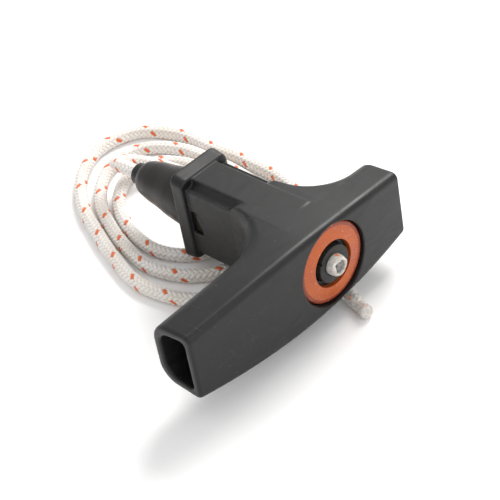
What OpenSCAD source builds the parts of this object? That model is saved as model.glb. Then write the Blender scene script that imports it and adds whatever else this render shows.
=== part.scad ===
// T-shaped starter grip with a spring assist in its neck, and the starter rope that hangs from it.
// Y runs along the rope axis, from the flat front face to the nose. X runs along the crossbar. Z is up.
// The origin is the centre of the grip without its rope. The rope axis lies to the right of it, because
// the crossbar is longer on the left. The grip lies on its own coiled rope.

/* [Crossbar] */
// Length of the crossbar
bar_len = 82; // [72:1:100]
// Height of the crossbar in its middle
bar_mid_h = 27.4; // [27:0.1:32]
// Height of the crossbar at its ends
bar_end_h = 20.8; // [16:0.2:24]
// Depth of the crossbar, front face to back
bar_depth = 14.6; // [12:0.2:18]
// How far the front face sweeps back at the ends
bar_sweep = 2.2; // [0:0.1:6]
// Place of the crossbar's middle along X, seen from the rope axis
bar_shift = -10.7; // [-14:0.1:0]
// Rounding of the two front edges
front_r = 2; // [1:0.1:3]
// Rounding of the two back edges
back_r = 6; // [3:0.1:7]
// How far the top falls from the front edge to the back edge
back_drop = 0.8; // [0:0.1:2]
// Radius of the fillets between crossbar and neck
fillet_r = 17; // [12:0.5:22]
// Wall round the pockets in the crossbar's ends
pocket_wall = 1.6; // [1.2:0.1:2.4]
// Depth of the end pockets
pocket_depth = 15; // [10:1:15]

/* [Neck] */
// Front face to the nose side of the flange
neck_len = 52.1; // [46:0.1:62]
// Width of the neck
neck_w = 16; // [15.6:0.1:20]
// Height of the neck
neck_h = 26.6; // [22:0.2:26.8]
// Radius of the four grooves along the neck
groove_r = 1.9; // [1:0.1:2.4]
// How far the flange stands out sideways from the neck
flange_out = 1.2; // [0.6:0.1:2]
// How far the flange stands out above and below the neck
flange_rise = 1.2; // [0.1:0.1:1.6]
// Thickness of the flange
flange_t = 4.8; // [3:0.1:6]
// Bore that holds the spring
bore_d = 13; // [12.4:0.1:13.2]

/* [Badge] */
// Diameter of the round recess in the front face
recess_d = 24.7; // [20:0.1:25]
// Depth of the recess
recess_depth = 2.8; // [2:0.1:4]
// Hole in the badge ring
badge_hole_d = 14; // [12.4:0.2:16]
// Thickness of the badge ring
badge_t = 1.1; // [0.8:0.1:1.6]
// How far the ring rises towards its hole
badge_dome = 1.3; // [0:0.1:1.4]

/* [Plunger] */
// Front boss of the plunger
boss_d = 11.14; // [10.4:0.02:11.4]
// Thickness of the wall that stops the plunger
stop_wall = 2.5; // [1.6:0.1:3.5]
// Thickness of the plunger's flange
plunger_flange_t = 3.6; // [2.4:0.1:5]
// Length of the plunger's tail inside the spring
plunger_tail = 4; // [2:0.5:6]
// Diameter of the pocket that holds the fused rope end
end_pocket_d = 6.4; // [5.8:0.1:7]
// How far the plunger's face lies behind the front face
plunger_inset = 0.5; // [0.2:0.1:2.2]
// How far the fused rope end stands out of the front face
knob_out = 2; // [0:0.1:3]
// Travel of the plunger
plunger_travel = 11; // [6:1:12]

/* [Spring] */
// Wire of the assist spring
wire_d = 1.3; // [1:0.1:1.5]
// Outer diameter of the assist spring
spring_d = 11.3; // [10.6:0.1:11.8]
// Number of turns
spring_turns = 9; // [6:1:12]
// Thickness of the washers at both ends of the spring
washer_t = 0.8; // [0.5:0.1:1.2]

/* [Bush] */
// Diameter of the nose cone where it meets the flange
nose_d = 16.8; // [15:0.2:18.2]
// Length of the nose cone beyond the flange, without its ferrule
nose_len = 22.5; // [18:0.5:28]
// Length of the bush's spigot in the neck
spigot_len = 11.3; // [10:0.1:14]
// Length of the guide tube that keeps the spring off the rope
guide_len = 12; // [8:1:14]
// Diameter of the guide tube
guide_d = 8; // [7:0.1:8.2]
// Outer diameter of the ferrule
ferrule_d = 6.6; // [6:0.1:7]
// Length of the ferrule
ferrule_len = 8.2; // [6:0.2:10]
// Length of the ferrule that shows
ferrule_out = 3.2; // [2:0.2:4]

/* [Rope] */
// Diameter of the rope
rope_d = 4.3; // [4:0.1:4.6]
// Length of the fused free end
tail_len = 9; // [6:1:12]

/* [Hidden] */
$fn = 64;
// Clearances
run_clear = 0.08;
press_clear = 0.05;
rope_clear = 0.15;
seat_clear = 0.1;
// Derived sizes
overall = neck_len + nose_len + ferrule_out;
mid_y = (overall - knob_out) / 2;
bore_r = bore_d / 2;
boss_r = boss_d / 2;
hole_r = boss_r + run_clear;
plunger_r = bore_r - run_clear;
washer_r = bore_r - 0.2;
rope_r = rope_d / 2;
rope_hole_r = rope_r + rope_clear;
stop_y = recess_depth + stop_wall;
flange_y = stop_y + seat_clear;
washer_y = flange_y + plunger_flange_t;
spigot_y = neck_len - spigot_len;
seat_y = spigot_y - washer_t;
spring_y0 = washer_y + washer_t;
end_pocket_r = end_pocket_d / 2;
end_pocket_len = 6;
core_r = 2;
core_t = 0.9;
core_y = 0.3 - knob_out;
pocket_floor_y = plunger_inset + end_pocket_len;
tail_r = guide_d / 2 - 0.4;
window_w = 7.4;
window_t = 3.4;
window_y = neck_len - flange_t - window_t - 0.3;
neck_start = 12;
latch_clear = 0.2;
latch_depth = 0.8;
badge_clear = 0.35;
nose_base_r = nose_d / 2;
ferrule_seat = ferrule_len - ferrule_out;
inner_rope_end = overall - ferrule_len - plunger_travel + 4;
rope_start_y = inner_rope_end + plunger_travel + 1;

// Rounded rectangle centred on the origin, from true arcs
module rounded_rect(w, h, r) {
    square([w - 2 * r, h], center = true);
    square([w, h - 2 * r], center = true);
    for (sx = [-1, 1], sy = [-1, 1])
        translate([sx * (w / 2 - r), sy * (h / 2 - r)]) circle(r = r);
}

// Puts a shape that is drawn with the front face at y = 0 into the part's frame
module centred() { translate([-bar_shift, -mid_y, 0]) children(); }

// Turns local Z into Y, starting at a distance y behind the front face
module along_y(y = 0) { translate([0, y, 0]) rotate([-90, 0, 0]) children(); }

// A turned piece from a profile of [radius, y] points
module turned(profile) { along_y() rotate_extrude() polygon(profile); }

// A round tube between two places on the rope axis
module sleeve(r_out, r_in, y0, y1) { turned([[r_in, y0], [r_out, y0], [r_out, y1], [r_in, y1]]); }

// Crossbar: one closed outline of [y, z] points at each station, where x is seen from the bar's middle
function share(x) = abs(x) / (bar_len / 2);
function front_y(x) = bar_sweep * pow(share(x), 2);
function half_h(x) = bar_end_h / 2 + (bar_mid_h - bar_end_h) / 2 * (1 - pow(share(x), 1.8));
function flare(x) = let (a = max(abs(x + bar_shift), neck_w / 2), reach = neck_w / 2 + fillet_r - a)
    reach <= 0 ? 0 : fillet_r - sqrt(pow(fillet_r, 2) - pow(min(reach, fillet_r), 2));
function arc(cy, cz, r, a0, a1, n) = [for (i = [0:n]) let (a = a0 + (a1 - a0) * i / n)
    [cy + r * cos(a), cz + r * sin(a)]];
function outline(x, inset) =
    let (h = half_h(x) - inset, y0 = front_y(x) + inset, y1 = front_y(x) + bar_depth + flare(x) - inset,
         fr = max(front_r - inset, 0.6), br = max(back_r - inset, 0.8), zb = h - back_drop - br,
         dy = y1 - br - y0 - fr, dz = zb - h + fr, lean = atan2(dz, dy) + acos((fr - br) / norm([dy, dz])))
    concat(arc(y0 + fr, h - fr, fr, 180, lean, 4), arc(y1 - br, zb, br, lean, 0, 6),
           arc(y1 - br, -zb, br, 0, -lean, 6), arc(y0 + fr, fr - h, fr, -lean, -180, 4));

// Closed solid through outlines at the stations xs, each [x, inset]
module lofted(stations) {
    rings = [for (s = stations) [for (p = outline(s[0], s[1])) [s[0], p[0], p[1]]]];
    n = len(rings[0]);
    last = len(rings) - 1;
    sides = [for (i = [0:last - 1], j = [0:n - 1]) let (a = i * n + j, b = i * n + (j + 1) % n)
        each [[a, b, b + n], [a, b + n, a + n]]];
    caps = [[for (j = [n - 1:-1:0]) j], [for (j = [0:n - 1]) last * n + j]];
    polyhedron([for (r = rings) each r], concat(sides, caps), convexity = 8);
}

bar_lip = 0.7;
bar_steps = 34;

module crossbar() {
    reach = bar_len / 2;
    inner = reach - bar_lip;
    lofted(concat([[-reach, bar_lip * 0.6]], [for (i = [0:bar_steps]) [inner * (2 * i / bar_steps - 1), 0]],
                  [[reach, bar_lip * 0.6]]));
}

// Pocket in one end of the crossbar
module end_pocket(side) {
    far = bar_len / 2 + 0.01;
    near = bar_len / 2 - pocket_depth;
    xs = side > 0 ? [near, (near + far) / 2, far] : [-far, -(near + far) / 2, -near];
    lofted([for (x = xs) [x, pocket_wall]]);
}

module neck_section() {
    difference() {
        rounded_rect(neck_w, neck_h, 2.6);
        for (sx = [-1, 1], sy = [-1, 1])
            translate([sx * (neck_w / 2 - 1.1), sy * (neck_h / 2 - 0.6)]) circle(r = groove_r);
    }
}

module grip_body() color([0.13, 0.13, 0.135]) centred() difference() {
    union() {
        translate([bar_shift, 0, 0]) crossbar();
        along_y(neck_start) linear_extrude(neck_len - flange_t - neck_start + 0.5) neck_section();
        along_y(neck_len - flange_t) linear_extrude(flange_t)
            rounded_rect(neck_w + 2 * flange_out, neck_h + 2 * flange_rise, 2.4);
    }
    along_y(-1) cylinder(d = recess_d, h = recess_depth + 1, $fn = 96);
    along_y(0) cylinder(r = hole_r, h = stop_y + 1);
    along_y(stop_y) cylinder(r = bore_r, h = overall);
    for (side = [-1, 1]) {
        translate([bar_shift, 0, 0]) end_pocket(side);
        translate([side * neck_w / 2, window_y + window_t / 2, 0])
            cube([2 * (neck_w / 2 - bore_r) + 2.4, window_t, window_w], center = true);
    }
}

module badge_ring() color([0.93, 0.38, 0.08]) centred() turned([
    [badge_hole_d / 2, recess_depth - badge_t - badge_dome], [recess_d / 2 - badge_clear, recess_depth - badge_t],
    [recess_d / 2 - badge_clear, recess_depth], [badge_hole_d / 2, recess_depth]]);

module knot_plunger() color([0.1, 0.1, 0.1]) centred() turned([
    [end_pocket_r, plunger_inset], [boss_r, plunger_inset], [boss_r, flange_y], [plunger_r, flange_y],
    [plunger_r, washer_y], [tail_r, washer_y], [tail_r, washer_y + plunger_tail],
    [rope_hole_r, washer_y + plunger_tail], [rope_hole_r, pocket_floor_y], [end_pocket_r, pocket_floor_y]]);

module rope_stop() color([0.9, 0.89, 0.86]) centred() {
    stop_r = end_pocket_r - press_clear;
    turned([[core_r, core_y + core_t], [core_r, core_y], [core_r + 0.5, -knob_out], [stop_r - 0.2, 0.7 - knob_out],
            [stop_r, 1.6 - knob_out], [stop_r, pocket_floor_y], [0, pocket_floor_y], [0, core_y + core_t]]);
}

module rope_core_end() color([0.55, 0.55, 0.55]) centred() along_y(core_y) cylinder(r = core_r, h = core_t);

module plunger_washer() color([0.72, 0.72, 0.74]) centred()
    sleeve(washer_r, tail_r + seat_clear, washer_y, washer_y + washer_t);

// Spring wire: rings of points along a helix on the rope axis
module assist_spring() color([0.6, 0.61, 0.63]) centred() {
    mean_r = (spring_d - wire_d) / 2;
    y0 = spring_y0 + wire_d / 2 + 0.02;
    y1 = seat_y - wire_d / 2 - 0.02;
    steps = spring_turns * 16;
    sides = 8;
    points = [for (i = [0:steps], j = [0:sides - 1])
        let (turn = 360 * i / 16, tube = 360 * j / sides, r = mean_r + wire_d / 2 * cos(tube))
        [r * cos(turn), y0 + (y1 - y0) * i / steps + wire_d / 2 * sin(tube), -r * sin(turn)]];
    walls = [for (i = [0:steps - 1], j = [0:sides - 1])
        let (a = i * sides + j, b = i * sides + (j + 1) % sides)
        each [[a, b, b + sides], [a, b + sides, a + sides]]];
    ends = [[for (j = [sides - 1:-1:0]) j], [for (j = [0:sides - 1]) steps * sides + j]];
    polyhedron(points, concat(walls, ends), convexity = 10);
}

module spring_seat() color([0.72, 0.72, 0.74]) centred()
    sleeve(washer_r, guide_d / 2 + seat_clear, seat_y, spigot_y);

module inner_rope() color([0.92, 0.91, 0.88]) centred()
    along_y(pocket_floor_y) cylinder(r = rope_r, h = inner_rope_end - pocket_floor_y);

module rope_bush() color([0.14, 0.125, 0.12]) centred() {
    tip_y = neck_len + nose_len;
    turned([[rope_hole_r, spigot_y - guide_len], [guide_d / 2, spigot_y - guide_len], [guide_d / 2, spigot_y],
        [plunger_r, spigot_y], [plunger_r, neck_len], [nose_base_r, neck_len], [nose_base_r - 0.1, neck_len + 3],
        [nose_base_r - 0.7, neck_len + 8], [nose_base_r - 1.6, tip_y - 10], [nose_base_r - 2.3, tip_y - 5],
        [5.4, tip_y - 1.8], [4.6, tip_y], [ferrule_d / 2 + press_clear, tip_y],
        [ferrule_d / 2 + press_clear, tip_y - ferrule_seat], [rope_hole_r, tip_y - ferrule_seat]]);
    for (side = [-1, 1])
        translate([side * (neck_w / 2 - latch_depth) - (side > 0 ? 2 : 0), window_y + latch_clear,
                   latch_clear - window_w / 2])
            cube([2, window_t - 2 * latch_clear, window_w - 2 * latch_clear]);
}

module nose_ferrule() color([0.09, 0.085, 0.085]) centred()
    sleeve(ferrule_d / 2, rope_hole_r, overall - ferrule_len, overall);

// Free rope. It leaves the nose, drops, winds three loose turns that grow outwards under the grip,
// and its fused end comes out under the crossbar. Distances are from the front face.
rest_z = -16.8;
turn_centre = [8.5, 74];
turn_outline = [[36, 86], [34.5, 68], [31, 50], [23, 34], [10, 23], [-5, 19], [-17, 25.5], [-25, 39],
                [-26.5, 56], [-21, 73], [-14.5, 88], [-7.5, 102], [3, 113.5], [16.5, 119.5], [29.5, 115],
                [35.8, 101.5]];
first_share = 0.5;
turn_growth = 0.172;
// The inner turns are rounder than the outermost one
round_r = 28;
round_share = 0.9;
exit_route = [[0, 81, 0], [0.4, 86.5, -1], [3.2, 92.5, -4], [8.6, 96.3, -8], [14.8, 95.5, -12],
              [19.7, 91, -15.2], [21.7, 85.2, -16.7]];
tail_route = [[36.5, 86, rest_z], [37, 70, rest_z], [35, 52, rest_z], [28, 36, rest_z], [18, 22, rest_z],
              [9.5, 11, rest_z], [5.9, 2.5, rest_z]];
tail_turn = -18;
coil_route = [for (t = [0:2], i = [0:15])
    let (s = first_share + turn_growth * (t + i / 16), arm = turn_outline[i] - turn_centre,
         mix = (1 - s) * round_share, p = turn_centre + s * arm * (1 - mix + mix * round_r / norm(arm)))
    [p[0], p[1], rest_z]];
route = concat([[0, rope_start_y, 0]], exit_route, coil_route, tail_route);
rings = 105;
rope_sides = 10;

function route_point(i) = route[max(0, min(len(route) - 1, i))];
// Point at position u along the route, smooth through every point of it
function rope_at(u) =
    let (i = min(floor(u), len(route) - 2), f = u - i, p0 = route_point(i - 1), p1 = route_point(i),
         p2 = route_point(i + 1), p3 = route_point(i + 2))
    0.5 * (2 * p1 + f * (p2 - p0) + f * f * (2 * p0 - 5 * p1 + 4 * p2 - p3)
           + f * f * f * (3 * p1 - p0 - 3 * p2 + p3));
tail_dir = [sin(tail_turn), -cos(tail_turn), 0];
function rope_dir(u) = u <= 0 ? [0, 1, 0] : u >= len(route) - 1 ? tail_dir
    : let (d = rope_at(u + 0.02) - rope_at(u - 0.02)) d / norm(d);

module starter_rope() color([0.94, 0.93, 0.9]) centred() {
    spans = len(route) - 1;
    points = [for (i = [0:rings - 1], j = [0:rope_sides - 1])
        let (u = spans * i / (rings - 1), d = rope_dir(u), side = cross(d, [0, 0, 1]) / norm(cross(d, [0, 0, 1])),
             up = cross(side, d), a = 360 * j / rope_sides)
        rope_at(u) + rope_r * (cos(a) * side + sin(a) * up)];
    walls = [for (i = [0:rings - 2], j = [0:rope_sides - 1])
        let (a = i * rope_sides + j, b = i * rope_sides + (j + 1) % rope_sides)
        each [[a, b + rope_sides, b], [a, a + rope_sides, b + rope_sides]]];
    ends = [[for (j = [0:rope_sides - 1]) j],
            [for (j = [rope_sides - 1:-1:0]) (rings - 1) * rope_sides + j]];
    polyhedron(points, concat(walls, ends), convexity = 10);
}

module rope_tail() color([0.88, 0.86, 0.82]) centred()
    translate(tail_route[len(tail_route) - 1]) rotate([90, 0, tail_turn]) cylinder(r = rope_r - 0.05, h = tail_len);

grip_body();
badge_ring();
knot_plunger();
rope_stop();
rope_core_end();
plunger_washer();
assist_spring();
spring_seat();
inner_rope();
rope_bush();
nose_ferrule();
starter_rope();
rope_tail();
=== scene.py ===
import math

import bmesh
import bpy
import numpy as np
from mathutils import Matrix, Vector


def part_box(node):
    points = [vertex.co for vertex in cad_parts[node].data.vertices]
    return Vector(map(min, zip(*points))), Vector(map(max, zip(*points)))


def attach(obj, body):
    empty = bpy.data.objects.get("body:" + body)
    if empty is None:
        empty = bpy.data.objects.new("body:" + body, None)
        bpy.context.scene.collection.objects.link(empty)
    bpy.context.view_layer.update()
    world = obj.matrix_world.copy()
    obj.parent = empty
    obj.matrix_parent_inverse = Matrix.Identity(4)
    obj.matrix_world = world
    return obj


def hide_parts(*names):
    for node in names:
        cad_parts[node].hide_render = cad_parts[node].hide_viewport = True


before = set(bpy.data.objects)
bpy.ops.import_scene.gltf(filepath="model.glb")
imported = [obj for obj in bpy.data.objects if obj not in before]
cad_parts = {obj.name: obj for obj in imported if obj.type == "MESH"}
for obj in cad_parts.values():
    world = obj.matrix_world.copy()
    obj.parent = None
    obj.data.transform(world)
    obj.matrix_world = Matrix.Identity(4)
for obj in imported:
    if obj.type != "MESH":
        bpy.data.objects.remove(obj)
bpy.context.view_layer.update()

MM = 0.001
GRIP_LOW, GRIP_HIGH = (np.array(corner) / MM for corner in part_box("grip_body"))
ROPE_X = sum(c.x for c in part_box("nose_ferrule")) / 2 / MM
NOSE_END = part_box("nose_ferrule")[1].y / MM
ROPE_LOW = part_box("starter_rope")[0].z / MM
OVERALL = 77.8
FRONT = NOSE_END - OVERALL


# ---------------------------------------------------------------- mesh helpers
def local(points):
    """Points in millimetres from the rope axis and the front face, as metres in the part's frame."""
    return (np.array(points, float) + [ROPE_X, FRONT, 0]) * MM


def add_mesh(name, points, faces, smooth=True):
    """A mesh object from points in the part's frame, in metres."""
    mesh = bpy.data.meshes.new(name)
    mesh.from_pydata([tuple(p) for p in points], [], [tuple(int(i) for i in f) for f in faces])
    mesh.validate()
    piece = bpy.data.objects.new(name, mesh)
    bpy.context.scene.collection.objects.link(piece)
    work = bmesh.new()
    work.from_mesh(mesh)
    bmesh.ops.recalc_face_normals(work, faces=work.faces)
    work.to_mesh(mesh)
    work.free()
    if smooth:
        mesh.polygons.foreach_set("use_smooth", [True] * len(mesh.polygons))
    return piece


def ring_faces(rings, sides, closed_ends=True, joined=False):
    """Faces between rings of equal point counts, one after the other."""
    count = rings if joined else rings - 1
    a = np.arange(count)[:, None] * sides + np.arange(sides)[None, :]
    b = np.arange(count)[:, None] * sides + (np.arange(sides)[None, :] + 1) % sides
    total = rings * sides
    quads = np.stack([a, (a + sides) % total, (b + sides) % total, b], -1).reshape(-1, 4)
    faces = [list(q) for q in quads]
    if closed_ends and not joined:
        faces.append(list(range(sides)))
        faces.append([(rings - 1) * sides + i for i in range(sides - 1, -1, -1)])
    return faces


def rounded(profile, radius, steps=4):
    """A closed profile of 2D points with each corner rounded by an arc-like curve."""
    points = np.array(profile, float)
    out = []
    for i, corner in enumerate(points):
        before, after = points[i - 1] - corner, points[(i + 1) % len(points)] - corner
        far_b, far_a = np.linalg.norm(before), np.linalg.norm(after)
        cut = min(radius, 0.45 * far_b, 0.45 * far_a)
        start, end = corner + before / far_b * cut, corner + after / far_a * cut
        for t in np.linspace(0, 1, steps + 1):
            out.append((1 - t) ** 2 * start + 2 * t * (1 - t) * corner + t * t * end)
    return np.array(out)


def turned(name, profile, sides=96, radius=0.25, change=None):
    """A turned piece on the rope axis from a closed profile of [radius, y] points in millimetres."""
    outline = rounded(profile, radius)
    angles = np.linspace(0, 2 * np.pi, sides, endpoint=False)
    rings = []
    for angle in angles:
        r, y = outline[:, 0], outline[:, 1]
        if change is not None:
            r, y = change(r.copy(), y.copy(), angle)
        rings.append(np.stack([r * math.cos(angle), y, r * math.sin(angle)], -1))
    return add_mesh(name, local(np.concatenate(rings)), ring_faces(sides, len(outline), joined=True))


def modify(piece, kind, **settings):
    """Adds a modifier and applies it at once."""
    modifier = piece.modifiers.new(kind.lower(), kind)
    for key, value in settings.items():
        setattr(modifier, key, value)
    graph = bpy.context.evaluated_depsgraph_get()
    mesh = bpy.data.meshes.new_from_object(piece.evaluated_get(graph))
    piece.modifiers.clear()
    old, piece.data = piece.data, mesh
    bpy.data.meshes.remove(old)
    return piece


def combine(piece, other, operation):
    """Exact boolean of piece with other, which is used up."""
    modify(piece, "BOOLEAN", operation=operation, object=other, solver="EXACT")
    bpy.data.objects.remove(other)
    return piece


def join(name, pieces):
    """One piece out of several, which are used up."""
    points, faces = [], []
    for piece in pieces:
        start = len(points)
        points += [v.co.copy() for v in piece.data.vertices]
        faces += [[start + i for i in p.vertices] for p in piece.data.polygons]
        bpy.data.objects.remove(piece)
    return add_mesh(name, points, faces)


def finish_piece(piece, material, nodes=(), body="root"):
    piece.data.materials.clear()
    piece.data.materials.append(material)
    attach(piece, body)
    if nodes:
        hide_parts(*nodes)
    return piece


# ---------------------------------------------------------------- materials
class Shader:
    """A procedural material built node by node. Lengths in its textures are in millimetres."""

    def __init__(self, name):
        self.material = bpy.data.materials.new(name)
        self.material.use_nodes = True
        self.tree = self.material.node_tree
        self.main = next(n for n in self.tree.nodes if n.type == "BSDF_PRINCIPLED")
        self.place = self.add("ShaderNodeTexCoord").outputs["Object"]

    def add(self, kind, settings=(), **inputs):
        node = self.tree.nodes.new(kind)
        for key, value in dict(settings).items():
            setattr(node, key, value)
        for key, value in inputs.items():
            self.put(node.inputs[int(key[1:]) if key[1:].isdigit() else key.replace("_", " ")], value)
        return node

    def put(self, socket, value):
        if isinstance(value, bpy.types.NodeSocket):
            self.tree.links.new(value, socket)
        else:
            socket.default_value = value

    def set(self, **values):
        for key, value in values.items():
            self.put(self.main.inputs[key.replace("_", " ")], value)
        return self

    def math(self, operation, *values, clamp=False):
        node = self.tree.nodes.new("ShaderNodeMath")
        node.operation, node.use_clamp = operation, clamp
        for socket, value in zip(node.inputs, values):
            self.put(socket, value)
        return node.outputs[0]

    def stretched(self, x, y, z, turn=(0, 0, 0)):
        node = self.add("ShaderNodeMapping")
        self.put(node.inputs["Vector"], self.place)
        node.inputs["Scale"].default_value = (x, y, z)
        node.inputs["Rotation"].default_value = turn
        return node.outputs["Vector"]

    def noise(self, size, detail=3.0, place=None, roughness=0.5, distortion=0.0):
        node = self.add("ShaderNodeTexNoise", Scale=1 / (size * MM), Detail=detail,
                        Roughness=roughness, Distortion=distortion)
        self.put(node.inputs["Vector"], self.place if place is None else place)
        return node.outputs["Fac"]

    def cracks(self, size, place=None):
        node = self.add("ShaderNodeTexVoronoi", {"feature": "DISTANCE_TO_EDGE"}, Scale=1 / (size * MM))
        self.put(node.inputs["Vector"], self.place if place is None else place)
        return node.outputs["Distance"]

    def span(self, value, sheen_side, high, to_low=0.0, to_high=1.0):
        node = self.add("ShaderNodeMapRange", {"clamp": True})
        for key, item in zip(("Value", "From Min", "From Max", "To Min", "To Max"),
                             (value, sheen_side, high, to_low, to_high)):
            self.put(node.inputs[key], item)
        return node.outputs["Result"]

    def mix(self, share, first, second, blend="MIX"):
        node = self.add("ShaderNodeMix", {"data_type": "RGBA", "blend_type": blend})
        for index, item in ((0, share), (6, first), (7, second)):
            self.put(node.inputs[index], item)
        return node.outputs[2]

    def bump(self, height, depth, strength=1.0, below=None):
        node = self.add("ShaderNodeBump", Strength=strength, Distance=depth * MM, Height=height)
        if below is not None:
            self.put(node.inputs["Normal"], below)
        return node.outputs["Normal"]

    def attribute(self, name):
        return self.add("ShaderNodeAttribute", {"attribute_name": name}).outputs["Fac"]


def rgb(r, g, b):
    return (r, g, b, 1.0)


def nylon(name, base, pale, rough=0.42, grain=0.28, wear=1.0):
    """Moulded glass-filled nylon: fine grain, flow marks, scuffs and paler rubbed edges."""
    s = Shader(name)
    fine = s.noise(grain, 2.0)
    flow = s.noise(4.5, 4.0, s.stretched(0.35, 1.0, 1.6, (0.3, 0.5, 0.2)), distortion=1.4)
    cloud = s.noise(14, 3.0)
    scratch_a = s.span(s.cracks(7.0, s.stretched(1.0, 0.05, 0.6, (0.2, 0.4, 0.9))), 0.0, 0.006, 1.0, 0.0)
    scratch_b = s.span(s.cracks(9.0, s.stretched(0.06, 1.0, 0.7, (0.5, 0.1, 0.3))), 0.0, 0.005, 1.0, 0.0)
    patchy = s.span(s.noise(6.0, 2.0), 0.50, 0.66)
    scratches = s.math("MULTIPLY", s.math("MAXIMUM", scratch_a, scratch_b), patchy)
    specks = s.math("MULTIPLY", s.span(s.noise(0.55, 1.0), 0.70, 0.76), s.span(s.noise(9.0, 2.0), 0.50, 0.62))
    edge = s.span(s.add("ShaderNodeNewGeometry").outputs["Pointiness"], 0.515, 0.60)
    rubbed = s.math("MULTIPLY", edge, s.span(cloud, 0.35, 0.65, 0.25, 1.0))
    worn = s.math("MULTIPLY", s.math("MAXIMUM", s.math("MULTIPLY", scratches, 0.4),
                  s.math("MAXIMUM", s.math("MULTIPLY", specks, 0.5), s.math("MULTIPLY", rubbed, 0.35))), wear)
    colour = s.mix(s.span(flow, 0.35, 0.7, 0.0, 0.5), rgb(*base), rgb(*[c * 1.45 for c in base]))
    colour = s.mix(worn, colour, rgb(*pale))
    polish = s.span(flow, 0.3, 0.7, rough - 0.05, rough + 0.08)
    roughness = s.math("ADD", polish, s.math("MULTIPLY", worn, 0.12))
    height = s.math("SUBTRACT", fine, s.math("MULTIPLY", scratches, 0.9))
    normal = s.bump(flow, 0.05, 0.35, s.bump(height, 0.035, 0.55))
    s.set(Base_Color=colour, Roughness=roughness, Normal=normal, Specular_IOR_Level=0.36)
    return s.material


def metal(name, base, rough):
    """Drawn steel with fine lines round it and small cloudy spots."""
    s = Shader(name)
    lines = s.noise(0.12, 2.0, s.stretched(0.08, 1.0, 1.0))
    spots = s.noise(1.8, 3.0)
    s.set(Base_Color=s.mix(s.span(spots, 0.4, 0.75, 0.0, 0.6), rgb(*base), rgb(*[c * 0.6 for c in base])),
          Metallic=1.0, Roughness=s.span(lines, 0.3, 0.7, rough - 0.06, rough + 0.1),
          Normal=s.bump(lines, 0.01, 0.5))
    return s.material


def badge_orange():
    """Orange moulded ring: a little dust, a painted sheen that makes one side paler and a darker outer rim of
    painted shade where the ring meets the recess wall.
    """
    s = Shader("badge_orange")
    cloud = s.noise(7.0, 3.0)
    fine = s.noise(0.25, 2.0)
    split = s.add("ShaderNodeSeparateXYZ", Vector=s.place)
    # painted sheen: the ring is lightened to a paler orange on one side, where x + z is low
    sheen_side = s.span(s.math("ADD", split.outputs[0], split.outputs[2]), -14 * MM, 8 * MM, 1.0, 0.0)
    painted_sheen = s.math("MULTIPLY", sheen_side, s.span(cloud, 0.35, 0.65, 0.35, 0.8))
    colour = s.mix(s.span(cloud, 0.35, 0.7), rgb(0.40, 0.060, 0.002), rgb(0.50, 0.092, 0.004))
    colour = s.mix(painted_sheen, colour, rgb(0.44, 0.115, 0.035))
    # painted shade: the outer rim, lying deepest in the recess against its wall, is darkened
    rim_shade = s.attribute("rim_shade")
    colour = s.mix(s.math("MULTIPLY", rim_shade, 0.85), colour, rgb(0.22, 0.028, 0.006))
    dust = s.math("MULTIPLY", s.span(s.noise(0.5, 1.0), 0.66, 0.74), 0.45)
    colour = s.mix(dust, colour, rgb(0.62, 0.50, 0.42))
    s.set(Base_Color=colour, Roughness=s.span(cloud, 0.3, 0.7, 0.34, 0.50), Normal=s.bump(fine, 0.02, 0.4))
    return s.material


def braid_material():
    """White polyester braid: filament lines along each strand, painted shade in the gaps between strands and
    one orange tracer.
    """
    s = Shader("rope_braid")
    tracer, depth, across = s.attribute("tracer"), s.attribute("depth"), s.attribute("across")
    blotch = s.noise(9.0, 3.0)
    fluff = s.noise(0.16, 3.0)
    white = s.mix(s.span(blotch, 0.35, 0.7), rgb(0.86, 0.83, 0.80), rgb(0.80, 0.74, 0.67))
    orange = s.mix(s.span(fluff, 0.35, 0.7), rgb(0.72, 0.10, 0.012), rgb(0.78, 0.19, 0.05))
    colour = s.mix(s.span(tracer, 0.35, 0.65), white, orange)
    # painted shade: the colour is darkened where the strand surface sinks into the gaps between strands
    shade = s.span(depth, 0.0, 0.62, 0.92, 0.0)
    colour = s.mix(shade, colour, rgb(0.33, 0.25, 0.20))
    filament = s.math("SINE", s.math("MULTIPLY", across, 2 * math.pi * 5))
    height = s.math("ADD", s.math("MULTIPLY", filament, 0.35), fluff)
    s.set(Base_Color=colour, Roughness=s.span(fluff, 0.3, 0.7, 0.62, 0.82),
          Normal=s.bump(height, 0.05, 0.6), Sheen_Weight=0.25, Subsurface_Weight=0.08,
          Subsurface_Radius=(0.0009, 0.0007, 0.0005), Subsurface_Scale=1.0)
    return s.material


def fused_material():
    """Melted rope: milky, uneven and glossier than the braid, with scorched and orange flecks."""
    s = Shader("rope_fused")
    cloud = s.noise(1.6, 4.0, distortion=0.8)
    fleck = s.span(s.noise(1.3, 2.0, s.stretched(1.0, 0.6, 1.0, (0.3, 0.8, 0.1))), 0.64, 0.70)
    ash = s.span(s.noise(0.8, 3.0), 0.58, 0.74)
    colour = s.mix(s.span(cloud, 0.3, 0.7), rgb(0.72, 0.70, 0.66), rgb(0.42, 0.40, 0.37))
    colour = s.mix(s.math("MULTIPLY", ash, 0.5), colour, rgb(0.30, 0.27, 0.23))
    colour = s.mix(fleck, colour, rgb(0.85, 0.20, 0.05))
    s.set(Base_Color=colour, Roughness=s.span(cloud, 0.3, 0.7, 0.22, 0.5),
          Normal=s.bump(cloud, 0.12, 0.6), Subsurface_Weight=0.35,
          Subsurface_Radius=(0.0020, 0.0016, 0.0012), Subsurface_Scale=1.0)
    return s.material


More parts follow.
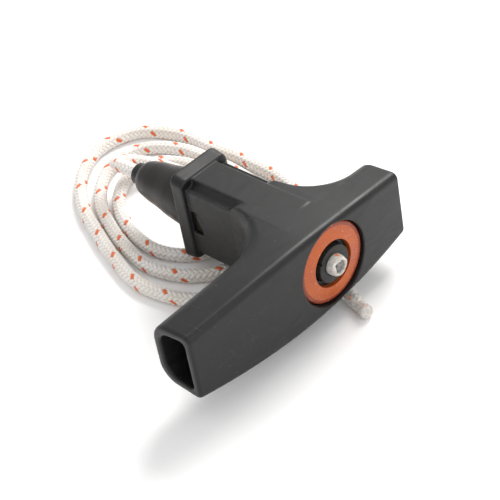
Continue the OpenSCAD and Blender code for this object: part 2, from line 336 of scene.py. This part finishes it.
def core_material():
    """Grey bundle of core fibres, seen end on."""
    s = Shader("rope_core")
    cells = s.cracks(0.45)
    cloud = s.noise(0.9, 3.0)
    colour = s.mix(s.span(cells, 0.0, 0.12, 1.0, 0.0), rgb(0.16, 0.16, 0.155), rgb(0.06, 0.06, 0.06))
    colour = s.mix(s.span(cloud, 0.45, 0.7), colour, rgb(0.30, 0.29, 0.27))
    s.set(Base_Color=colour, Roughness=0.6, Normal=s.bump(cells, 0.15, 0.8))
    return s.material


def floor_material():
    s = Shader("floor_paper")
    s.set(Base_Color=rgb(0.97, 0.97, 0.97), Roughness=0.85, Normal=s.bump(s.noise(1.5, 2.0), 0.01, 0.2))
    return s.material


# ---------------------------------------------------------------- camera, floor and light
CAMERA_BACK = Vector((-0.5025, -0.6091, 0.6136)).normalized()
CAMERA_PLACE = Vector(local([-241.45, -258.45, 284.80]))
CAMERA_ROLL = math.radians(-11.14)
right = Vector((0, 0, 1)).cross(CAMERA_BACK).normalized()
up = CAMERA_BACK.cross(right)
turned_right = right * math.cos(CAMERA_ROLL) + up * math.sin(CAMERA_ROLL)
turned_up = -right * math.sin(CAMERA_ROLL) + up * math.cos(CAMERA_ROLL)
camera = bpy.data.objects.new("camera", bpy.data.cameras.new("camera"))
camera.data.sensor_width = 36
camera.data.lens = 122.4
camera.data.clip_start = 0.01
camera.data.clip_end = 20
camera.matrix_world = Matrix([[*axes, place] for axes, place in
                              zip(zip(turned_right, turned_up, CAMERA_BACK), CAMERA_PLACE)] + [[0, 0, 0, 1]])
bpy.context.scene.collection.objects.link(camera)
bpy.context.scene.camera = camera

floor = add_mesh("floor", [(x, y, ROPE_LOW * MM - 0.00005) for x, y in ((-2, -2), (2, -2), (2, 2), (-2, 2))],
                 [[0, 1, 2, 3]])
floor.data.materials.append(floor_material())

world = bpy.data.worlds.new("studio")
bpy.context.scene.world = world
bpy.context.scene.view_settings.view_transform = "Standard"
world.use_nodes = True
world.node_tree.nodes["Background"].inputs["Color"].default_value = rgb(1.0, 1.0, 1.0)
world.node_tree.nodes["Background"].inputs["Strength"].default_value = 0.75


def softbox(name, place, aim, size, power, colour=(1, 1, 1)):
    lamp = bpy.data.lights.new(name, "AREA")
    lamp.shape, lamp.size, lamp.size_y = "RECTANGLE", size[0], size[1]
    lamp.energy, lamp.color = power, colour
    holder = bpy.data.objects.new(name, lamp)
    holder.location = place
    holder.rotation_euler = (Vector(aim) - Vector(place)).to_track_quat("-Z", "Y").to_euler()
    bpy.context.scene.collection.objects.link(holder)
    return holder


softbox("key_softbox", (0.48, 0.12, 0.52), (0, 0, 0), (0.34, 0.34), 5.0, (1.0, 0.985, 0.96))
softbox("front_fill", (-0.10, -0.70, 0.45), (0, 0, 0), (0.7, 0.5), 1.6)

# ---------------------------------------------------------------- rope
ROPE_R = 2.15
REST_Z = -16.8
TURN_CENTRE = np.array([8.5, 74])
TURN_OUTLINE = [[36, 86], [34.5, 68], [31, 50], [23, 34], [10, 23], [-5, 19], [-17, 25.5], [-25, 39],
                [-26.5, 56], [-21, 73], [-14.5, 88], [-7.5, 102], [3, 113.5], [16.5, 119.5], [29.5, 115],
                [35.8, 101.5]]
FIRST_SHARE = 0.5
TURN_GROWTH = 0.172
ROUND_R = 28
ROUND_SHARE = 0.9
EXIT_ROUTE = [[0, 81, 0], [0.4, 86.5, -1], [3.2, 92.5, -4], [8.6, 96.3, -8], [14.8, 95.5, -12],
              [19.7, 91, -15.2], [21.7, 85.2, -16.7]]
TAIL_ROUTE = [[36.5, 86, REST_Z], [37, 70, REST_Z], [35, 52, REST_Z], [28, 36, REST_Z], [18, 22, REST_Z],
              [9.5, 11, REST_Z], [5.9, 2.5, REST_Z]]
TAIL_TURN = math.radians(-18)
ROPE_START = 74.6


def coil_route():
    """Three loose turns that grow outwards."""
    out = []
    for turn in range(3):
        for i, corner in enumerate(TURN_OUTLINE):
            share = FIRST_SHARE + TURN_GROWTH * (turn + i / len(TURN_OUTLINE))
            arm, mix = np.array(corner) - TURN_CENTRE, (1 - share) * ROUND_SHARE
            x, y = TURN_CENTRE + share * arm * (1 - mix + mix * ROUND_R / np.linalg.norm(arm))
            out.append([x, y, REST_Z])
    return out


def smooth_line(points, steps):
    """Catmull-Rom line through every point."""
    p = np.array([points[0]] + list(points) + [points[-1]], float)
    t = np.arange(steps)[:, None] / steps
    spans = []
    for a, b, c, d in zip(p, p[1:], p[2:], p[3:]):
        spans.append(0.5 * (2 * b + t * (c - a) + t ** 2 * (2 * a - 5 * b + 4 * c - d)
                            + t ** 3 * (3 * b - a - 3 * c + d)))
    return np.concatenate(spans + [p[-1:]])


def evenly(line, gap):
    """The same line with points a fixed distance apart."""
    along = np.concatenate([[0], np.cumsum(np.linalg.norm(np.diff(line, axis=0), axis=1))])
    wanted = np.linspace(0, along[-1], int(along[-1] / gap) + 1)
    return np.stack([np.interp(wanted, along, line[:, i]) for i in range(3)], -1), wanted


CARRIERS = 8
BRAID_PITCH = 13.0
STRAND_RISE = 0.5
FUSED_RISE = 0.22
TRACER = 3


def braid(theta, along):
    """Height, tracer and place across the strand of a two-over, two-under braid."""
    a = CARRIERS * (theta / (2 * np.pi) + along / BRAID_PITCH)
    b = CARRIERS * (theta / (2 * np.pi) - along / BRAID_PITCH)
    ia, ib = np.round(a), np.round(b)
    over = np.mod(ia + ib, 4) < 2
    across = np.where(over, a - ia, b - ib)
    reach = np.where(over, np.mod(ia + b + 0.5, 4) - 1.0, np.mod(ib + a + 0.5, 4) - 3.0)
    strand = np.sqrt(np.clip(1 - (1.9 * across) ** 2, 0, 1))
    height = strand * (1 - 0.55 * np.clip(reach, -1, 1) ** 2)
    tracer = np.where(over & (np.mod(ia, CARRIERS) == TRACER), 1.0, 0.0)
    return height, tracer, across


def braided_tube(name, line, along, sides, radius, rise):
    """Tube along the line whose surface is a braid with strands of the given rise."""
    tangent = np.gradient(line, axis=0)
    tangent /= np.linalg.norm(tangent, axis=1)[:, None]
    side = np.cross(tangent, [0, 0, 1])
    side /= np.linalg.norm(side, axis=1)[:, None]
    top = np.cross(side, tangent)
    theta = np.linspace(0, 2 * np.pi, sides, endpoint=False)[None, :]
    height, tracer, across = braid(theta, along[:, None])
    r = (np.broadcast_to(radius, (len(line),))[:, None] - rise * (1 - height))[..., None]
    around = np.cos(theta)[..., None] * side[:, None] + np.sin(theta)[..., None] * top[:, None]
    points = line[:, None] + r * around
    tube = add_mesh(name, local(points.reshape(-1, 3)), ring_faces(len(line), sides))
    for key, values in (("depth", height), ("tracer", tracer), ("across", across)):
        layer = tube.data.attributes.new(key, "FLOAT", "POINT")
        layer.data.foreach_set("value", values.astype(np.float32).ravel())
    return tube


route = [[0, ROPE_START, 0]] + EXIT_ROUTE + coil_route() + TAIL_ROUTE
rope_line, rope_along = evenly(smooth_line(route, 60), 0.24)
rope = braided_tube("braided_rope", rope_line, rope_along, 64, ROPE_R, STRAND_RISE)
rope_braid = braid_material()
finish_piece(rope, rope_braid, ["starter_rope"])

# Fused end: the braid runs out into a melted, slightly flared stub
TAIL_LEN = 9.0
TAIL_R = 2.1
tail_dir = np.array([math.sin(TAIL_TURN), -math.cos(TAIL_TURN), 0])
tail_steps = np.linspace(0, TAIL_LEN, 60)
tail_line = np.array(TAIL_ROUTE[-1]) + tail_steps[:, None] * tail_dir
tail_waist = 0.10 * np.exp(-((tail_steps - 5.5) / 1.6) ** 2)
tail_tip = 0.30 * np.clip((tail_steps - 8.1) / 0.9, 0, 1) ** 2
tail_shape = TAIL_R * (1 - tail_waist - tail_tip)
tail = braided_tube("melted_tail", tail_line, rope_along[-1] + tail_steps, 64, tail_shape, FUSED_RISE)
rope_fused = fused_material()
finish_piece(tail, rope_fused, ["rope_tail"])

# ---------------------------------------------------------------- grip moulding
BAR_LEN = GRIP_HIGH[0] - GRIP_LOW[0]
BAR_SHIFT = (GRIP_HIGH[0] + GRIP_LOW[0]) / 2 - ROPE_X
BAR_MID_H = 27.4
BAR_END_H = 20.8
BAR_DEPTH = 14.6
BAR_SWEEP = 2.2
FRONT_R = 2.0
BACK_R = 6.0
BACK_DROP = 0.5
FILLET_R = 17.0
POCKET_WALL = 2.4
POCKET_DEPTH = 15.0
NECK_LEN = 52.1
NECK_W = 16.0
NECK_H = 26.3
NECK_R = 2.6
NECK_START = 12
GROOVE_R = 1.9
FLANGE_T = 4.8
FLANGE_W = 18.4
FLANGE_H = 29.0
FLANGE_R = 2.4
BORE_R = 6.5
RECESS_R = 12.35
RECESS_DEPTH = 2.8
STOP_Y = 5.3
HOLE_R = 5.65
WINDOW = (43.6, 47.0, 3.7)


def half_height(x):
    return BAR_END_H / 2 + (BAR_MID_H - BAR_END_H) / 2 * (1 - (abs(x) / (BAR_LEN / 2)) ** 1.8)


def flare(x):
    reach = NECK_W / 2 + FILLET_R - max(abs(x + BAR_SHIFT), NECK_W / 2)
    return 0.0 if reach <= 0 else FILLET_R - math.sqrt(FILLET_R ** 2 - reach ** 2)


def bar_outline(x, inset):
    """Closed outline of the crossbar at x, as points in the YZ plane."""
    h, grow = half_height(x) - inset, flare(x)
    y0 = BAR_SWEEP * (abs(x) / (BAR_LEN / 2)) ** 2 + inset
    y1 = y0 - inset + BAR_DEPTH + grow - inset
    front = max(FRONT_R - inset, 0.6 if inset < 1 else 1.7)
    back = max(BACK_R - inset, 0.8 if inset < 1 else 4.6)
    zb = h - BACK_DROP - back
    dy, dz = y1 - back - y0 - front, zb - h + front
    lean = math.atan2(dz, dy) + math.acos((front - back) / math.hypot(dy, dz))
    arcs = []
    for cy, cz, r, start, end, count in ((y0 + front, h - front, front, math.pi, lean, 12),
                                         (y1 - back, zb, back, lean, 0, 14),
                                         (y1 - back, -zb, back, 0, -lean, 14),
                                         (y0 + front, front - h, front, -lean, -math.pi, 12)):
        angle = np.linspace(start, end, count + 1)
        across = np.full(count + 1, x + BAR_SHIFT)
        arcs.append(np.stack([across, cy + r * np.cos(angle), cz + r * np.sin(angle)], -1))
    return np.concatenate(arcs)


def bar_loft(name, stations):
    """Closed solid through the outlines at each (x, inset)."""
    rings = [bar_outline(x, inset) for x, inset in stations]
    return add_mesh(name, local(np.concatenate(rings)), ring_faces(len(rings), len(rings[0])))


def rounded_rect(w, h, r, steps=8):
    """Outline of a rounded rectangle in the XZ plane."""
    out = []
    for sx, sz, start in ((1, 1, 0), (-1, 1, 90), (-1, -1, 180), (1, -1, 270)):
        for a in np.radians(np.linspace(start, start + 90, steps)):
            out.append([sx * (w / 2 - r) + r * math.cos(a), sz * (h / 2 - r) + r * math.sin(a)])
    return np.array(out)


def prism(name, sections):
    """Closed solid through outlines [(y, points in the XZ plane)]."""
    rings = [np.stack([p[:, 0], np.full(len(p), y), p[:, 1]], -1) for y, p in sections]
    return add_mesh(name, local(np.concatenate(rings)), ring_faces(len(rings), len(rings[0])))


def cutter_box(name, sheen_side, high):
    x, y, z = zip(sheen_side, high)
    points = [[x[i], y[j], z[k]] for i in (0, 1) for j in (0, 1) for k in (0, 1)]
    faces = [[0, 1, 3, 2], [4, 6, 7, 5], [0, 4, 5, 1], [2, 3, 7, 6], [0, 2, 6, 4], [1, 5, 7, 3]]
    return add_mesh(name, local(points), faces)


def cylinder_cut(name, profile):
    """Turned cutter from an open profile of [radius, y] that starts and ends on the axis."""
    sides = 96
    angles = np.linspace(0, 2 * np.pi, sides, endpoint=False)
    rings = [[[r * math.cos(a), y, r * math.sin(a)] for a in angles] for r, y in profile]
    return add_mesh(name, local(np.concatenate(rings)), ring_faces(len(rings), sides))


def grip_moulding():
    reach = BAR_LEN / 2
    lip = 0.9
    inner = np.linspace(0, reach - lip, 42)
    edge = [(reach - lip + lip * math.sin(a), lip * (1 - math.cos(a)))
            for a in np.radians([20, 40, 60, 80, 90])]
    half = [(x, 0.0) for x in inner] + edge
    grip = bar_loft("grip_moulding", [(-x, i) for x, i in reversed(half[1:])] + half)
    neck_end = NECK_LEN - FLANGE_T
    neck_outline = rounded_rect(NECK_W, NECK_H, NECK_R)
    neck = prism("neck", [(NECK_START, neck_outline), (neck_end + 1, neck_outline)])
    for sx in (-1, 1):
        for sz in (-1, 1):
            angles = np.linspace(0, 2 * np.pi, 32, endpoint=False)
            circle = np.stack([sx * (NECK_W / 2 - 1.1) + GROOVE_R * np.cos(angles),
                               sz * (NECK_H / 2 - 0.6) + GROOVE_R * np.sin(angles)], -1)
            combine(neck, prism("groove", [(NECK_START - 2, circle), (neck_end, circle)]), "DIFFERENCE")
    combine(grip, neck, "UNION")
    flange_steps = ((0, 0.5, 0.95), (0.25, 0.12, 0.9), (0.6, 0, 0.8), (FLANGE_T - 0.8, 0, 0.1),
                    (FLANGE_T - 0.3, 0.08, 0), (FLANGE_T, 0.35, 0))
    flange = prism("flange", [
        (neck_end + d, rounded_rect(FLANGE_W - 2 * i, FLANGE_H - 2 * i - 2 * s, FLANGE_R - i * 0.5))
        for d, i, s in flange_steps])
    combine(grip, flange, "UNION")
    for side in (-1, 1):
        far, near = reach + 0.05, reach - POCKET_DEPTH
        stations = [(near, POCKET_WALL + 1.3), (near + 0.8, POCKET_WALL)]
        stations += [(x, POCKET_WALL) for x in np.linspace(near + 2, reach - 0.7, 12)]
        stations += [(reach - 0.3, POCKET_WALL - 0.1), (far, POCKET_WALL - 0.4)]
        stations = [(side * x, i) for x, i in stations]
        combine(grip, bar_loft("pocket", stations[::side]), "DIFFERENCE")
        box_x = sorted((side * (BORE_R - 0.6), side * (NECK_W / 2 + 2)))
        window = cutter_box("window", (box_x[0], WINDOW[0], -WINDOW[2]), (box_x[1], WINDOW[1], WINDOW[2]))
        combine(grip, window, "DIFFERENCE")
    recess = [(RECESS_R + 0.55, -1), (RECESS_R + 0.5, 0.0), (RECESS_R + 0.08, 0.55), (RECESS_R, 1.0),
              (RECESS_R, RECESS_DEPTH)]
    combine(grip, cylinder_cut("recess", recess), "DIFFERENCE")
    bore = [(HOLE_R + 0.25, RECESS_DEPTH - 0.5), (HOLE_R + 0.2, RECESS_DEPTH), (HOLE_R, RECESS_DEPTH + 0.3),
            (HOLE_R, STOP_Y), (BORE_R, STOP_Y), (BORE_R, NECK_LEN + 2)]
    combine(grip, cylinder_cut("bore", bore), "DIFFERENCE")
    modify(grip, "REMESH", mode="VOXEL", voxel_size=0.24 * MM, use_smooth_shade=True)
    modify(grip, "SMOOTH", factor=0.5, iterations=5)
    grip.data.polygons.foreach_set("use_smooth", [True] * len(grip.data.polygons))
    return grip


grip_nylon = nylon("grip_nylon", (0.009, 0.009, 0.0094), (0.10, 0.10, 0.10))
finish_piece(grip_moulding(), grip_nylon, ["grip_body"])

# ---------------------------------------------------------------- badge, plunger and rope end
RIM_R = 10.75
badge = turned("badge_disc", [[7.0, 0.9], [10.6, 1.55], [10.9, 1.45], [11.7, 1.6], [12.0, 1.9], [12.0, 2.8],
                              [7.0, 2.8]], radius=0.18, sides=128)
# marks the outer rim that gets painted shade
rim_shade = badge.data.attributes.new("rim_shade", "FLOAT", "POINT")
rim_shade.data.foreach_set("value", [1.0 if math.hypot(v.co.x - ROPE_X * MM, v.co.z) > RIM_R * MM else 0.0
                               for v in badge.data.vertices])
finish_piece(badge, badge_orange(), ["badge_ring"])


def boss_change(r, y, angle):
    """A flat at the bottom of the boss and a small notch at its left."""
    front = (r > 4.2) & (y < 5.3)
    below = -math.sin(angle)
    if below > 0.1:
        r = np.where(front, np.minimum(r, 5.05 / below), r)
    notch = 0.55 * math.exp(-((angle - math.radians(150)) / 0.07) ** 2)
    return np.where(front, r - notch, r), y


plunger_black = nylon("plunger_nylon", (0.014, 0.014, 0.0135), (0.14, 0.14, 0.13), rough=0.5, grain=0.4)
plunger = turned("plunger_hub", [[3.2, 0.5], [5.57, 0.5], [5.57, 5.4], [6.42, 5.4], [6.42, 9.0], [3.6, 9.0],
                                 [3.6, 13.0],
                                 [2.3, 13.0], [2.3, 6.5], [3.2, 6.5]], sides=160, change=boss_change)
finish_piece(plunger, plunger_black, ["knot_plunger"], "plunger")


def melt_change(r, y, angle):
    """Uneven melted lip."""
    wave = 0.16 * math.sin(3 * angle + 0.7) + 0.11 * math.sin(5 * angle + 2.1) + 0.06 * math.sin(11 * angle)
    lip = np.clip((0.4 - y) / 2.0, 0, 1)
    uneven = r + wave * lip * (r > 0.5) - 0.16 * lip
    return np.clip(uneven, 0.02, 3.15), np.maximum(y + 0.35 * wave * lip, -1.95)


stop = turned("fused_knob", [[0.02, -0.75], [1.75, -0.8], [1.95, -1.35], [2.35, -1.9], [2.95, -1.4],
                             [3.12, -0.3], [3.12, 6.4], [0.02, 6.4]], radius=0.3, change=melt_change)
finish_piece(stop, rope_fused, ["rope_stop"], "plunger")


def core_change(r, y, angle):
    lift = 0.10 * math.sin(4 * angle + 1.0) + 0.07 * math.sin(9 * angle)
    return r, np.where(y < -1.2, y + lift * np.clip(r / 1.5, 0, 1), y)


core = turned("core_stub", [[0.01, -1.48], [0.9, -1.4], [1.7, -1.5], [1.7, -0.7], [0.01, -0.7]],
              radius=0.1, change=core_change)
finish_piece(core, core_material(), ["rope_core_end"], "plunger")

# ---------------------------------------------------------------- bush and ferrule
bush = turned("bush_body", [[2.32, 28.8], [4.0, 28.8], [4.0, 40.8], [6.42, 40.8], [6.42, 52.1], [8.4, 52.15],
                            [8.35, 55.1],
                            [7.75, 60.1], [6.85, 64.6], [6.15, 69.6], [5.45, 72.8], [4.6, 74.6], [3.35, 74.6],
                            [3.35, 69.6], [2.32, 69.6]], radius=0.7)
latches = []
for side in (-1, 1):
    depth = (NECK_W / 2 - 0.8, NECK_W / 2 - 2.8)
    ys, z = (WINDOW[0] + 0.2, WINDOW[1] - 0.2), WINDOW[2] - 0.2
    corners = rounded([[ys[0], -z], [ys[1], -z], [ys[1], z], [ys[0], z]], 0.3)
    middle = sum(WINDOW[:2]) / 2
    rings = [[[side * x, (y - middle) * k + middle, w * k] for y, w in corners]
             for x, k in ((depth[1], 1), (depth[0] - 0.2, 1), (depth[0], 0.93))]
    latches.append(add_mesh("latch", local(np.concatenate(rings)), ring_faces(3, len(corners))))
bush = join("bush_moulding", [bush] + latches)
bush_nylon = nylon("bush_nylon", (0.010, 0.007, 0.0058), (0.10, 0.08, 0.068), rough=0.36, grain=0.35)
finish_piece(bush, bush_nylon, ["rope_bush"])
ferrule = turned("ferrule_sleeve", [[2.32, 69.6], [3.3, 69.6], [3.3, 77.8], [2.32, 77.8]], radius=0.25)
ferrule_dark = nylon("ferrule", (0.012, 0.011, 0.011), (0.12, 0.11, 0.10), rough=0.34, grain=0.3)
finish_piece(ferrule, ferrule_dark, ["nose_ferrule"])

# ---------------------------------------------------------------- hidden CAD pieces
steel = metal("spring_steel", (0.42, 0.43, 0.45), 0.32)
bright = metal("washer_steel", (0.58, 0.58, 0.60), 0.28)
plain_braid = fused_material()
plain_braid.name = "rope_inside"
for node, material in (("assist_spring", steel), ("plunger_washer", bright), ("spring_seat", bright),
                       ("inner_rope", plain_braid)):
    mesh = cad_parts[node].data
    mesh.materials.clear()
    mesh.materials.append(material)
